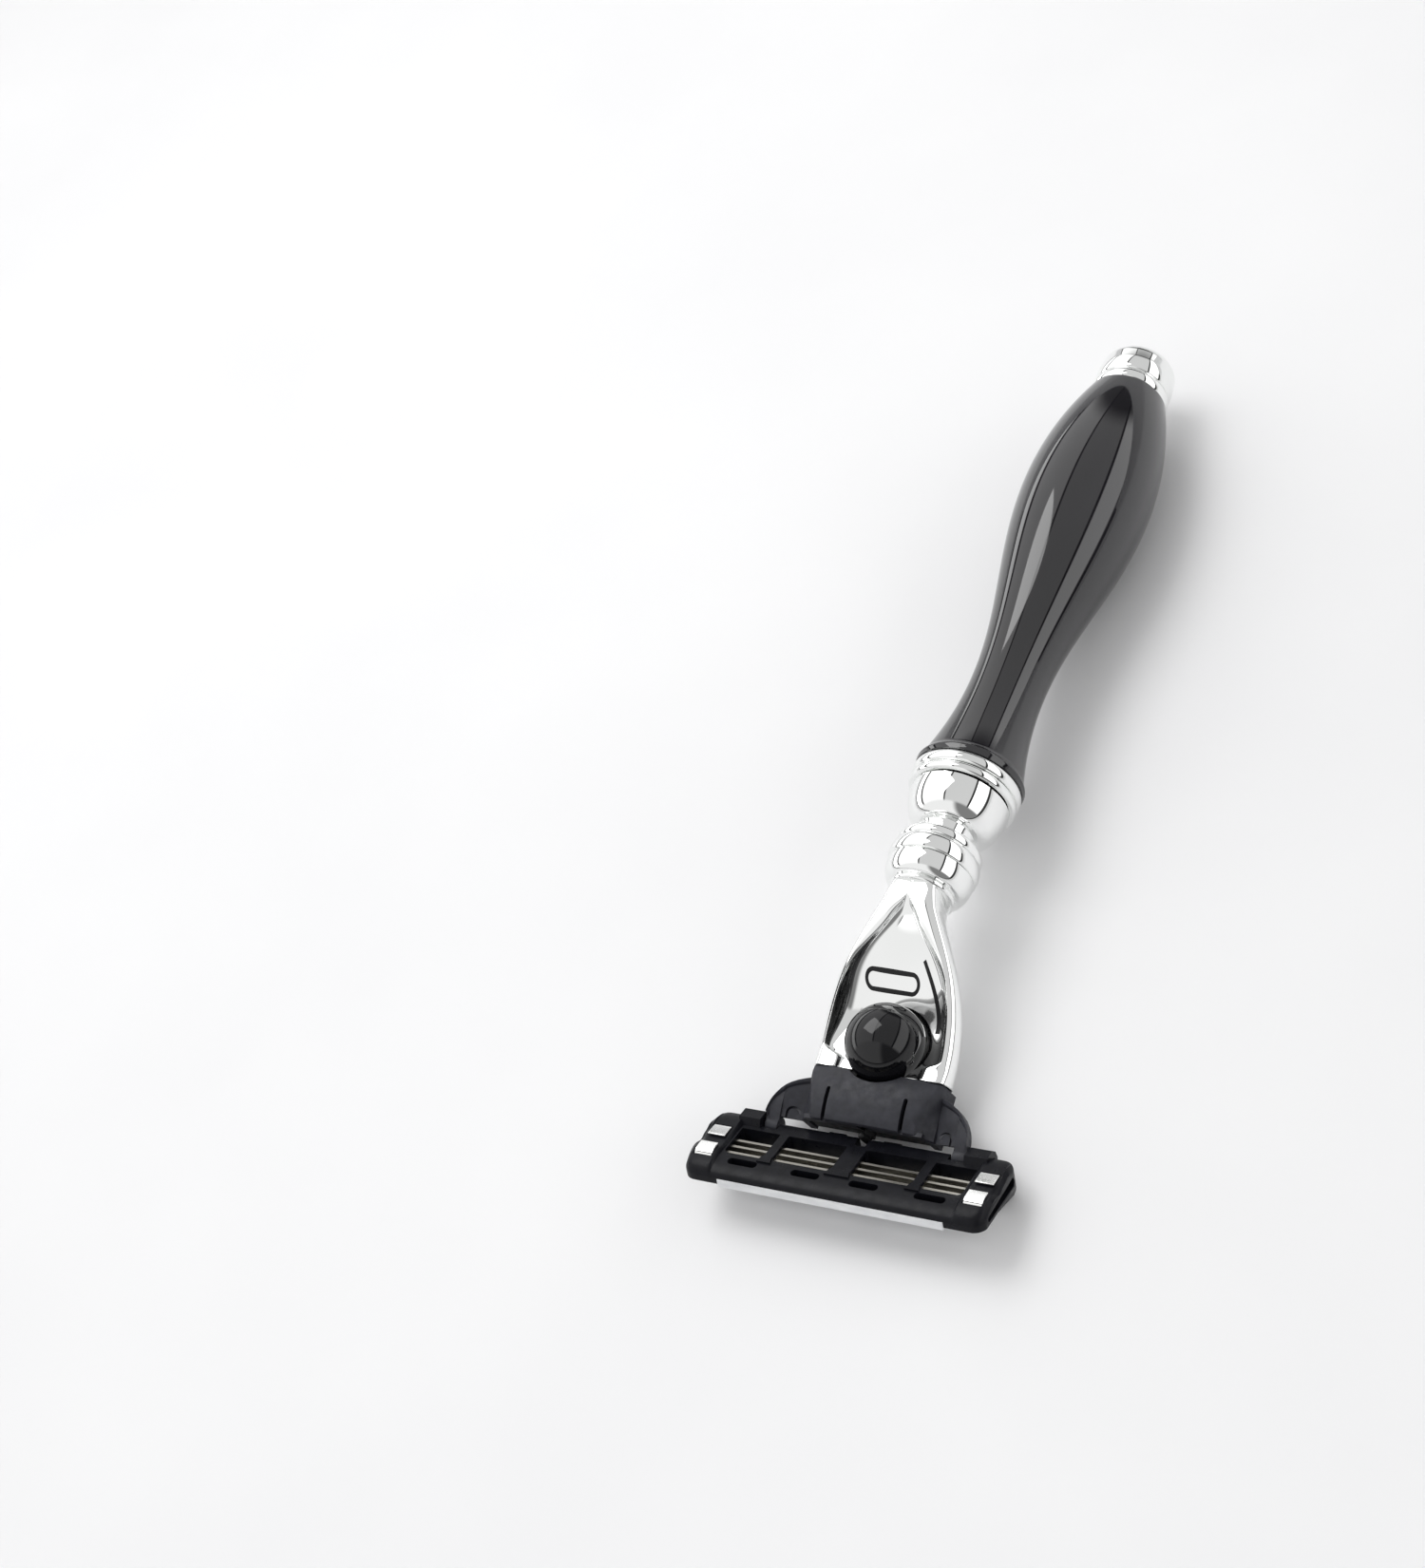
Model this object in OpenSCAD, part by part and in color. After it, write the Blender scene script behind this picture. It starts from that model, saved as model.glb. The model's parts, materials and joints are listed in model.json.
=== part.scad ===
// Cartridge razor with a turned metal ferrule, a resin grip and a pivoting blade cartridge.
// Every sub-part is drawn in the handle frame and then laid down by lying_down():
//   X runs across the razor, Y runs along the handle from the head to the end cap,
//   Z points to the button side. Y = 0 is just below the resin grip's foot.

/* [Grip] */
// Widest diameter of the resin grip
belly_d = 18.2; // [16:0.1:20]
// Diameter at the grip's waist
waist_d = 10; // [9:0.1:12]
// Distance from the ferrule to the far end of the grip
grip_end = 71.5; // [66:0.5:76]
// Distance from the ferrule to the widest place
belly_at = 52; // [48:0.5:56]
// Distance from the ferrule to the waist
waist_at = 17; // [15:0.5:20]
// Diameter of the grip where the end cap starts
grip_tip_d = 11.4; // [10:0.1:12.5]

/* [End cap] */
// Length of the end cap
cap_length = 8.9; // [8:0.1:11]
// Diameter of the end cap
cap_d = 11.4; // [10.8:0.1:12]

/* [Ferrules] */
// Diameter of the wide ring under the grip
bell_d = 14.7; // [14:0.1:15.6]
// Diameter of the lower, bulb-shaped ferrule
bulb_d = 11.9; // [11:0.1:12.6]
// Diameter of the neck between the two ferrules
neck_d = 7; // [6.6:0.1:8]

/* [Head] */
// Width of the head where the cartridge clips on
head_w = 18.6; // [18:0.1:20]
// Drop of the head's centre line below the handle axis
head_drop = 9.3; // [8.5:0.1:10]
// Tilt of the nose that carries the cartridge
nose_tilt = 14; // [12:0.5:16]
// Diameter of the release button
button_d = 10.2; // [9.6:0.1:10.4]
// Travel of the release button, which pushes the cartridge off its nose
release_travel = 3.5; // [2:0.1:4]

/* [Cartridge] */
// Overall length of the cartridge across the razor
cart_w = 40.4; // [38:0.2:42]
// Depth of the cartridge from its guard edge to its cap edge
cart_depth = 11; // [10.6:0.1:11.4]
// Tilt of the cartridge's back against the handle axis
cart_tilt = 22.5; // [20:0.5:25]
// Distance from one blade to the next
blade_pitch = 1.2; // [1.1:0.05:1.3]

/* [Rest] */
// Tilt of the handle when the razor lies on its belly and its guard
rest_tilt = 2.822; // [2:0.001:4]
// Height of the handle axis above the floor, at the ferrule
rest_height = 11.714; // [10:0.001:14]
// Shift along the handle that centres the razor on its origin
rest_shift = -11.343; // [-16:0.001:-6]

/* [Hidden] */
$fn = 64;
eps = 0.01;
handle_nodes = ["end_cap", "grip", "upper_ferrule", "lower_ferrule", "tie_rod", "head_body", "nose_carrier"];
button_nodes = ["release_button", "ejector", "ejector_screw", "ejector_spring"];
plunger_nodes = ["plunger", "plunger_spring"];
blade_nodes = ["blade_1", "blade_2", "blade_3", "blade_support_1", "blade_support_2", "blade_support_3"];
cartridge_nodes = ["yoke", "housing", "guard_fins", "lubricating_strip", "clip_left", "clip_right"];

// Handle stations and radii
belly_r = belly_d / 2;
waist_r = waist_d / 2;
grip_tip_r = grip_tip_d / 2;
cap_r = cap_d / 2;
bell_r = bell_d / 2;
bulb_r = bulb_d / 2;
neck_r = neck_d / 2;
foot_y = 2.2;
bell_top_y = 1;
bell_groove_y = -2;
bell_end_y = -7.4;
bulb_top_y = -9.4;
bulb_groove_ys = [-11.1, -13.6];
bulb_end_y = -16.5;
head_top_y = -17.4;
rod_r = 2;
rod_clearance = 0.1;
spigot_r = 2.6;
spigot_top_y = 6;
rod_low_y = -9;
rod_high_y = grip_end + 5;

// Head stations
head_drop_length = 23;
head_neck_half = 3.6;
// Half width of the head at stations below the ferrule, as [distance from Y = 0, share of the widest]
head_flare = [[17.4, 0.38], [20, 0.455], [22, 0.565], [24, 0.68], [26, 0.79], [28, 0.88], [30, 0.935],
    [32, 0.975], [35, 1], [41, 1]];
// Half width of the thumb recess, the same way
recess_flare = [[20, 0.05], [21, 0.155], [22.5, 0.25], [24, 0.4], [25.5, 0.56], [27.5, 0.7], [29.5, 0.78],
    [31, 0.825], [33, 0.86], [35.5, 0.88], [36.6, 0.84], [37.3, 0.76]];
nose_y = -38.6;
nose_z = -9;
head_top_over_mid = 2.7;
head_bottom_under_mid = 2.8;
recess_tip_y = -20;
recess_end_y = -37.3;
recess_depth_z = -7.05;
well_floor = 0.8;
well_r = 5.5;
rail_inner_half = 6.2;
carrier_half = 7.7;
carrier_low = -1.45;
carrier_back = 3.4;
slot_end_y = 5.3;
carrier_front = -6.7;
rail_top = 2.1;
slot_half = 1.3;
slot_floor = -0.75;
ejector_screw_r = 0.75;
screw_head_r = 1.1;
pressed_spring = 2.13;
button_y = 3.93;
slot_front = button_y - release_travel - screw_head_r - pressed_spring;
button_z = 2.11;
button_r = button_d / 2;
button_bottom = 1.75;
fit = 0.1;

// Yoke, in the nose frame
yoke_half = 8.9;
yoke_front = -6.9;
yoke_top = 3.1;
yoke_crown = 3.75;
yoke_bottom = -2.2;
yoke_inner_half = 7.95;
yoke_inner_top = 2.35;
tongue_half = 5.25;
tongue_root_y = -3.6;
wing_top = 1.8;
wing_low = 0.3;
wing_a = 13.6;
wing_b = 7.6;
wing_round = 2.8;
arm_x = 11.8;
arm_top = 1.2;

// Pivot axis in the handle frame and in the nose frame
pivot_y = -46.4;
pivot_z = -10.9;
pivot_in_nose = [0,
    (pivot_y - nose_y) * cos(nose_tilt) + (pivot_z - nose_z) * sin(nose_tilt),
    (pivot_z - nose_z) * cos(nose_tilt) - (pivot_y - nose_y) * sin(nose_tilt)];
pivot_pin_r = 0.8;
pivot_play = 0.05;
pivot_lobe_r = 1.45;
pivot_boss_r = 1.2;
arm_slot_x = 11.5;
pin_start = 13.4;
pin_end = 16.4;
lobe_start = 13.7;
lobe_end = 16.7;

// Plunger, in the nose frame
plunger_z = -0.3;
plunger_r = 0.8;
plunger_tip_r = 0.45;
plunger_tip_y = -7.74;
plunger_tip_z = 1.75;
plunger_tail = -5.7;
plunger_bore_end = -3.4;

// Cartridge, in the cartridge frame: origin on the pivot axis, +Y to the handle, +Z out of the back
cart_half = cart_w / 2 - 0.15;
front_y = -0.1;
cap_y = -cart_depth;
back_z = 0.75;
shoulder_z = 1.25;
guard_z = -3.5;
cap_face_z = -1.3;
cap_round_start = -8.3;
cap_round_end_z = -0.4;
face_slope = (cap_face_z - guard_z) / (front_y - cap_y);
end_round_x = 18.6;
block_x = 16.1;
window_front = -2.3;
window_back = -7.4;
cavity_half = 16.3;
slot_end = 16.65;
plunger_notch = [0.75, -1.75, -0.6];
cavity_top = 0.35;
cavity_front = -3;
rib_x = 9.9;
rib_half = 0.6;
rib_half_mid = 1.3;
drain_xs = [[2, 5.6], [10.6, 14.3]];
first_blade_y = -3.28;
blade_half = 16.6;
blade_tilt = 20;
blade_t = 0.12;
support_t = 0.25;
slot_depth = 0.42;
strip_half = 15;
fin_half = 16;
fin_high = -0.5;
fin_low = -2.7;
fin_root = 0.35;
strip_top_z = -0.55;
clip_x = 17.95;
clip_w = 2.4;
clip_t = 0.25;
clip_legs = [-3.2, -8.8];
clip_tab = 1.8;

// ---- Curves ----
// Smooth step from 0 to 1
function smooth(t) = t <= 0 ? 0 : t >= 1 ? 1 : t * t * (3 - 2 * t);
function mix(a, b, t) = a + (b - a) * t;
// Grip radius: swelling belly, waist and flared foot
function grip_r(y) =
    y >= belly_at ? mix(belly_r, grip_tip_r, pow((y - belly_at) / (grip_end - belly_at), 2)) :
    y >= waist_at ? mix(waist_r, belly_r, (1 - cos(180 * (y - waist_at) / (belly_at - waist_at))) / 2) :
    waist_r + (bell_r - 0.35 - waist_r) * pow((waist_at - y) / (waist_at - foot_y), 2);
// Head centre line, half width, rim and belly
function head_mid(y) = -head_drop * smooth((head_top_y - y) / head_drop_length);
function head_half(y) = head_w / 2 * lookup(-y, head_flare);
function head_rim(y) = head_mid(y) + mix(head_neck_half, head_top_over_mid, smooth((head_top_y - y) / 8));
function head_belly(y) =
    head_mid(y) - mix(head_neck_half, head_bottom_under_mid, smooth((head_top_y - y) / 14));
// Recess for the thumb: half width and floor
function recess_half(y) = head_w / 2 * lookup(-y, recess_flare);
function recess_floor(y) = mix(1.3, recess_depth_z, smooth((recess_tip_y - y) / 13));
// Lower face of the cartridge
function face_z(y) = guard_z + face_slope * (front_y - y);

// ---- Frames ----
module lying_down() {
    translate([0, rest_shift, rest_height]) rotate([-rest_tilt, 0, 0]) children();
}
module turned_on_handle() {
    rotate([-90, 0, 0]) rotate_extrude() children();
}
module nose_frame() {
    translate([0, nose_y, nose_z]) rotate([nose_tilt, 0, 0]) children();
}
module cartridge_frame() {
    translate([0, pivot_y, pivot_z]) rotate([-cart_tilt, 0, 0]) children();
}
module both_sides() {
    children();
    mirror([1, 0, 0]) children();
}
// Rectangle with rounded corners, centred
module rounded(w, d, r) {
    square([w - 2 * r, d], center = true);
    square([w, d - 2 * r], center = true);
    for (x = [-1, 1]) for (y = [-1, 1]) translate([x * (w / 2 - r), y * (d / 2 - r)]) circle(r = r);
}
// Bar across X with its outline given in Y and Z
module across(half) {
    rotate([90, 0, 90]) translate([0, 0, -half]) linear_extrude(2 * half) children();
}
module box(low, high) {
    translate(low) cube(high - low);
}
module rod_along_y(r, y0, y1, x = 0, z = 0) {
    translate([x, y0, z]) rotate([-90, 0, 0]) cylinder(r = r, h = y1 - y0);
}
module rod_along_x(r, x0, x1) {
    translate([x0, 0, 0]) rotate([0, 90, 0]) cylinder(r = r, h = x1 - x0);
}

// ---- Handle ----
module end_cap() {
    ring_y = grip_end + 2.1;
    dome_y = grip_end + 5.6;
    tip_y = grip_end + cap_length;
    color("silver") lying_down() difference() {
        turned_on_handle() polygon(concat(
            [[0, grip_end], [cap_r, grip_end], [cap_r, ring_y - 0.25], [cap_r - 0.35, ring_y],
                [cap_r - 0.1, ring_y + 0.25]],
            [for (a = [0:10:90]) [(cap_r - 0.15) * cos(a), dome_y + (tip_y - dome_y) * sin(a)]]));
        rod_along_y(rod_r, grip_end - eps, rod_high_y);
    }
}
module grip() {
    color("dimgray") lying_down() difference() {
        turned_on_handle() polygon(concat(
            [[0, bell_top_y], [bell_r, bell_top_y], [bell_r, foot_y - 0.1]],
            [for (y = [foot_y:(grip_end - foot_y) / 32:grip_end + eps]) [grip_r(y), y]],
            [[0, grip_end]]));
        rod_along_y(rod_r + rod_clearance, bell_top_y - 1, grip_end + 1);
        rod_along_y(spigot_r + rod_clearance, bell_top_y - 1, spigot_top_y + 0.5);
    }
}
module upper_ferrule() {
    bell_start = bell_groove_y - 0.2;
    color("silver") lying_down() difference() {
        turned_on_handle() polygon(concat(
            [[0, bulb_top_y], [neck_r, bulb_top_y], [neck_r, bell_end_y]],
            [for (a = [80:-10:0]) [neck_r + (bell_r - 0.8 - neck_r) * cos(a),
                bell_start + (bell_end_y - bell_start) * sin(a)]],
            [[bell_r - 0.95, bell_groove_y]],
            [for (a = [-80:20:80])
                [bell_r - 0.3 + 0.3 * cos(a), mix(bell_groove_y, bell_top_y, 0.5 + a / 180)]],
            [[0, bell_top_y]]));
        rod_along_y(spigot_r, bulb_top_y - 1, bell_top_y + 1);
    }
}
module lower_ferrule() {
    color("silver") lying_down() difference() {
        turned_on_handle() polygon(concat(
            [[0, head_top_y], [neck_r + 0.85, head_top_y], [neck_r + 0.85, bulb_end_y]],
            [for (a = [70:-10:0]) [neck_r + 0.7 + (bulb_r - neck_r - 0.7) * cos(a),
                bulb_groove_ys[1] + (bulb_end_y - bulb_groove_ys[1]) * sin(a) / sin(70)]],
            [[bulb_r - 0.2, bulb_groove_ys[1] + 0.2], [bulb_r, bulb_groove_ys[1] + 0.5],
                [bulb_r, bulb_groove_ys[0] - 0.5], [bulb_r - 0.35, bulb_groove_ys[0]],
                [bulb_r - 0.2, bulb_groove_ys[0] + 0.3], [bulb_r - 0.6, bulb_top_y - 0.2],
                [bulb_r - 0.9, bulb_top_y], [0, bulb_top_y]]));
        rod_along_y(spigot_r, head_top_y - 1, bulb_top_y + 1);
    }
}
module tie_rod() {
    color("gainsboro") lying_down() rod_along_y(rod_r, rod_low_y, rod_high_y);
}
// Cross-section of the head at one station, as a thin slice
module head_slice(y) {
    grown = smooth((head_top_y - y) / 8);
    low_r = 2.2;
    high_r = mix(3, 0.6, grown);
    inset = mix(0.3, 1.2, grown);
    half = head_half(y);
    translate([0, y, 0]) rotate([90, 0, 0]) linear_extrude(eps) hull() both_sides() {
        translate([half - low_r, head_belly(y) + low_r]) circle(r = low_r, $fn = 32);
        translate([half - inset - high_r, head_rim(y) - high_r]) circle(r = high_r, $fn = 32);
    }
}
module head_blank() {
    stations = [head_top_y, -20, -22, -24, -26, -28.5, -31, -34.5, nose_y - 2];
    for (i = [0:len(stations) - 2])
        hull() {
            head_slice(stations[i]);
            head_slice(stations[i + 1] + eps);
        }
}
// Thumb recess: plan outline crossed with everything above its floor
module head_recess() {
    steps = 20;
    ys = [for (i = [0:steps]) mix(recess_tip_y, recess_end_y, i / steps)];
    intersection() {
        across(head_w) polygon(concat(
            [for (y = ys) [y, recess_floor(y)]],
            [[recess_end_y, 12], [recess_tip_y, 12]]));
        translate([0, 0, -20]) linear_extrude(40) polygon(concat(
            [for (y = ys) [recess_half(y), y]],
            [for (i = [steps:-1:0]) [-recess_half(ys[i]), ys[i]]]));
    }
}
module head_body() {
    color("whitesmoke") lying_down() difference() {
        union() {
            head_blank();
            rod_along_y(spigot_r, head_top_y - 1, spigot_top_y);
        }
        nose_frame() box([-20, -12, -12], [20, 0, 12]);
        head_recess();
        nose_frame() {
            translate([0, button_y, well_floor]) cylinder(r = well_r, h = 12);
            box([-well_r, -1, well_floor], [well_r, button_y, 12]);
            box([-carrier_half, -1, carrier_low], [carrier_half, carrier_back, well_floor + eps]);
            box([-slot_half, -1, slot_floor], [slot_half, slot_end_y, 2]);
        }
        rod_along_y(rod_r, rod_low_y, spigot_top_y + 1);
    }
}

// ---- Nose, fixed in the head ----
module nose_carrier() {
    color("#2b2c30") lying_down() nose_frame() difference() {
        union() {
            box([-carrier_half, carrier_front, carrier_low], [carrier_half, carrier_back, well_floor]);
            both_sides()
                box([rail_inner_half, carrier_front, well_floor - eps], [carrier_half, -fit, rail_top]);
        }
        rod_along_y(plunger_r + 0.05, carrier_front - 1, plunger_bore_end, z = plunger_z);
        box([-slot_half, slot_front, slot_floor], [slot_half, carrier_back + 1, well_floor + 1]);
        box([-0.7, carrier_front - 1, plunger_z], [0.7, carrier_front + 0.7, well_floor + 1]);
    }
}
// ---- Release button and what moves with it ----
module release_button() {
    color("#1b1b1f") lying_down() nose_frame() difference() {
        intersection() {
            translate([0, button_y, button_z]) sphere(r = button_r);
            box([-10, -10, button_bottom], [10, 20, 12]);
        }
        translate([0, button_y, button_bottom - 1]) cylinder(r = ejector_screw_r, h = 3.2);
    }
}
module ejector() {
    ejector_low = well_floor + 0.08;
    color("#3a3b40") lying_down() nose_frame() difference() {
        union() {
            translate([0, button_y, ejector_low]) cylinder(r = 4.8, h = button_bottom - ejector_low);
            both_sides() box([2.9, -6.6, ejector_low], [4.5, button_y, 1.6]);
        }
        translate([0, button_y, 0]) cylinder(r = ejector_screw_r, h = 4);
    }
}
module ejector_screw() {
    color("silver") lying_down() nose_frame() translate([0, button_y, 0]) {
        translate([0, 0, slot_floor + 0.3]) cylinder(r = screw_head_r, h = well_floor - slot_floor - 0.22);
        translate([0, 0, well_floor]) cylinder(r = ejector_screw_r, h = button_bottom + 2 - well_floor);
    }
}
// Coil spring along +Y from y = 0, with closed ends left out
module coil(r, wire_r, length, turns) {
    sides = 6;
    steps = 14 * turns;
    function corner(i, k) = i * sides + k % sides;
    function ring_point(i, k) = let (
            a = 360 * turns * i / steps,
            b = 360 * k / sides,
            out = r + wire_r * cos(b))
        [out * cos(a), wire_r + (length - 2 * wire_r) * i / steps + wire_r * sin(b), out * sin(a)];
    polyhedron(
        points = [for (i = [0:steps]) for (k = [0:sides - 1]) ring_point(i, k)],
        faces = concat(
            [[for (k = [0:sides - 1]) k]],
            [[for (k = [sides - 1:-1:0]) corner(steps, k)]],
            [for (i = [0:steps - 1]) for (k = [0:sides - 1])
                [corner(i, k), corner(i + 1, k), corner(i + 1, k + 1), corner(i, k + 1)]]));
}
module ejector_spring() {
    color("gray") lying_down() nose_frame()
        translate([0, slot_front, 0.1]) coil(0.5, 0.12, button_y - screw_head_r - slot_front, 6);
}

// ---- Plunger ----
module plunger() {
    color("#3a3b40") lying_down() nose_frame() {
        rod_along_y(plunger_r, plunger_tip_y + plunger_tip_r, plunger_tail, z = plunger_z);
        translate([0, plunger_tip_y, plunger_z]) cylinder(r = plunger_tip_r, h = plunger_tip_z - plunger_z);
        translate([0, plunger_tip_y, plunger_tip_z]) sphere(r = plunger_tip_r);
        rod_along_y(plunger_tip_r, plunger_tip_y, plunger_tip_y + 1, z = plunger_z);
    }
}
module plunger_spring() {
    color("gray") lying_down() nose_frame()
        translate([0, plunger_tail, plunger_z]) coil(0.55, 0.12, plunger_bore_end - plunger_tail, 4);
}

// ---- Yoke: sleeve over the nose, two wings and the pivot pins ----
module yoke_sleeve() {
    intersection() {
        rotate([90, 0, 0]) linear_extrude(-yoke_front) translate([0, (yoke_bottom + yoke_crown) / 2])
            rounded(2 * yoke_half, yoke_crown - yoke_bottom, 1.8);
        across(20) polygon([[-0.05, yoke_bottom - 1], [-0.05, yoke_top], [yoke_front * 0.5, yoke_crown],
            [yoke_front - 0.1, yoke_top + 0.1], [yoke_front - 0.1, yoke_bottom - 1]]);
    }
}
module yoke_wings() {
    steps = 24;
    wing = [for (i = [0:steps]) let (a = 90 * i / steps)
        [wing_a * pow(cos(a), 2 / wing_round), pivot_in_nose[1] + wing_b * pow(sin(a), 2 / wing_round)]];
    translate([0, 0, wing_low]) linear_extrude(wing_top - wing_low) both_sides() difference() {
        polygon(concat(wing, [[0, pivot_in_nose[1]]]));
        translate([-1, -20]) square([arm_x + 1, 20 + yoke_front]);
        translate([-1, -20]) square([yoke_half, 30]);
    }
    translate(pivot_in_nose) both_sides() {
        rod_along_x(pivot_boss_r, arm_x, pin_start);
        rod_along_x(pivot_pin_r, pin_start - 1, pin_end);
    }
}
module yoke() {
    color("#4a4b52") lying_down() nose_frame() difference() {
        union() {
            yoke_sleeve();
            yoke_wings();
        }
        box([-yoke_inner_half, -30, yoke_bottom + 0.6], [yoke_inner_half, 5, yoke_inner_top]);
        translate([0, button_y, yoke_inner_top - 1]) cylinder(r = button_r + 0.3, h = 10);
        both_sides() box([arm_x - 1, -20, arm_top], [20, yoke_front, 10]);
        both_sides() box([tongue_half - 0.35, yoke_front - 1, yoke_inner_top - 1],
            [tongue_half + 0.35, tongue_root_y, 10]);
    }
}

// ---- Cartridge ----
module housing_blank() {
    corner = 1.6;
    end_steps = 6;
    intersection() {
        across(cart_half) polygon(concat(
            [[front_y - 0.4, face_z(front_y - 0.4)], [front_y, guard_z + 0.4], [front_y, back_z - 0.3],
                [front_y - 0.3, back_z]],
            [for (a = [0:15:90]) [mix(cap_round_start, cap_y, sin(a)), mix(cap_round_end_z, back_z, cos(a))]],
            [[cap_y, cap_face_z]]));
        translate([0, (front_y + cap_y) / 2, -10]) linear_extrude(20)
            rounded(2 * cart_half, front_y - cap_y, corner);
        rotate([90, 0, 0]) translate([0, 0, -5]) linear_extrude(20) polygon(concat(
            [for (i = [0:end_steps]) let (a = 90 * i / end_steps)
                [mix(end_round_x, cart_half, sin(a)), mix(cap_round_end_z, shoulder_z, cos(a))]],
            [[cart_half - 0.2, -1.6], [cart_half - 1.2, guard_z - 1], [-cart_half + 1.2, guard_z - 1],
                [-cart_half + 0.2, -1.6]],
            [for (i = [end_steps:-1:0]) let (a = 90 * i / end_steps)
                [-mix(end_round_x, cart_half, sin(a)), mix(cap_round_end_z, shoulder_z, cos(a))]]));
    }
    both_sides() box([block_x, -9.3, back_z - 1], [end_round_x + 0.6, -1.6, shoulder_z]);
    both_sides() rod_along_x(pivot_lobe_r, lobe_start, lobe_end);
    both_sides() translate([0, -0.3, 0.2]) rod_along_x(0.55, 2.6, 4.8);
}
module housing() {
    color("#45464d") lying_down() cartridge_frame() difference() {
        housing_blank();
        box([-cavity_half, window_back, -10], [cavity_half, cavity_front, cavity_top]);
        both_sides() {
            box([rib_half_mid, window_back, -10], [rib_x - rib_half, window_front, 10]);
            box([rib_x + rib_half, window_back, -10], [block_x, window_front, 10]);
            rod_along_x(pivot_boss_r + 0.4, arm_slot_x, lobe_start - eps);
            rod_along_x(pivot_pin_r + pivot_play, arm_slot_x, lobe_end + 1);
            for (y = clip_legs)
                box([clip_x - clip_w / 2 - 0.05, y - clip_t / 2 - 0.05, -10],
                    [clip_x + clip_w / 2 + 0.05, y + clip_t / 2 + 0.05, 10]);
            for (x = drain_xs) box([x[0], -8.85, cap_round_end_z], [x[1], -8.4, 3]);
        }
        for (n = [1:3]) {
            across(slot_end) polygon([on_blade(n, 0.1, -0.4), on_blade(n, 0.1, slot_depth),
                on_blade(n, -1.4, slot_depth), on_blade(n, -1.4, -0.4)]);
            box([-slot_end, on_blade(n, -1.3, blade_t)[0] - 0.05, face_z(blade_y(n))],
                [slot_end, on_blade(n, -0.9, slot_depth)[0] + 0.05, cavity_top]);
        }
        box([-plunger_notch[0], plunger_notch[1], plunger_notch[2]], [plunger_notch[0], 2, 10]);
        across(strip_half + 0.05) polygon(strip_outline(0.05));
        across(fin_half + 0.02) polygon(fin_base(0.02));
    }
}
// Section of the strip that carries the fins, grown by a gap to make its groove
function fin_base(gap) = [
    [fin_high + gap, face_z(fin_high) - 5 * gap], [fin_low - gap, face_z(fin_low) - 5 * gap],
    [fin_low - gap, face_z(fin_low) + fin_root + gap], [fin_high + gap, face_z(fin_high) + fin_root + gap]];
module guard_fins() {
    fin_ys = [for (i = [0:4]) -0.75 - 0.42 * i];
    color("#2c2f2e") lying_down() cartridge_frame() {
        across(fin_half) polygon(fin_base(0));
        for (y = fin_ys)
            across(fin_half) polygon([[y - 0.12, face_z(y) + 0.1], [y + 0.12, face_z(y) + 0.1],
                [y + 0.06, face_z(y) - 0.4], [y - 0.06, face_z(y) - 0.4]]);
    }
}
// Section of the strip at the cap edge, grown by a gap to make its groove
function strip_outline(gap) = [[cap_y - 0.12, strip_top_z + gap], [cap_y + 0.5 + gap, strip_top_z + gap],
    [-9.2 + gap, face_z(-9.2) + 0.5], [-9.2 + gap, face_z(-9.2) - 0.15], [cap_y - 0.12, cap_face_z - 0.3]];
module lubricating_strip() {
    color("white") lying_down() cartridge_frame() across(strip_half) polygon(strip_outline(0));
}
module clip(side) {
    near = clip_legs[0] + clip_t / 2;
    far = clip_legs[1] - clip_t / 2;
    color("silver") lying_down() cartridge_frame() mirror([side, 0, 0])
        translate([clip_x, 0, 0]) across(clip_w / 2) difference() {
            polygon([[near, shoulder_z + clip_t], [far, shoulder_z + clip_t], [far, face_z(far) - clip_t],
                [near, face_z(near) - clip_t]]);
            polygon([[near - clip_t, shoulder_z], [far + clip_t, shoulder_z],
                [far + clip_t, face_z(far + clip_t)], [near - clip_t, face_z(near - clip_t)]]);
            translate([far + clip_tab, shoulder_z - 1]) square([near - far - 2 * clip_tab, 5]);
        }
}
module clip_left() { clip(1); }
module clip_right() { clip(0); }
function blade_y(n) = first_blade_y - blade_pitch * (n - 1);
// Point of a blade's own section, along the blade and out of it, in the cartridge's Y and Z
function on_blade(n, along, out) = [
    blade_y(n) + along * cos(blade_tilt) + out * sin(blade_tilt),
    face_z(blade_y(n)) + 0.1 - along * sin(blade_tilt) + out * cos(blade_tilt)];
function blade_outline(n) = [on_blade(n, 0, 0), on_blade(n, -0.25, blade_t), on_blade(n, -1.3, blade_t),
    on_blade(n, -1.3, 0)];
// Bent support: a flange under the blade and a leg up into the housing
function support_outline(n) = [on_blade(n, -0.4, blade_t), on_blade(n, -0.4, blade_t + support_t),
    on_blade(n, -0.95, blade_t + support_t), [on_blade(n, -0.95, blade_t + support_t)[0], cavity_top - 0.05],
    [on_blade(n, -1.25, blade_t)[0], cavity_top - 0.05], on_blade(n, -1.25, blade_t)];
module blade(n) {
    color("white") lying_down() cartridge_frame() across(blade_half) polygon(blade_outline(n));
}
module blade_support(n) {
    color("lightgray") lying_down() cartridge_frame() across(blade_half) polygon(support_outline(n));
}

end_cap();
grip();
upper_ferrule();
lower_ferrule();
tie_rod();
head_body();
nose_carrier();
release_button();
ejector();
ejector_screw();
ejector_spring();
plunger();
plunger_spring();
yoke();
housing();
guard_fins();
lubricating_strip();
clip_left();
clip_right();
for (n = [1:3]) {
    blade(n);
    blade_support(n);
}
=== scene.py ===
"""Looks of the cartridge razor: detailed pieces, procedural materials, camera and studio."""
import json
import math

import bmesh
import bpy
from mathutils import Matrix, Vector
from mathutils.bvhtree import BVHTree


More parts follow.
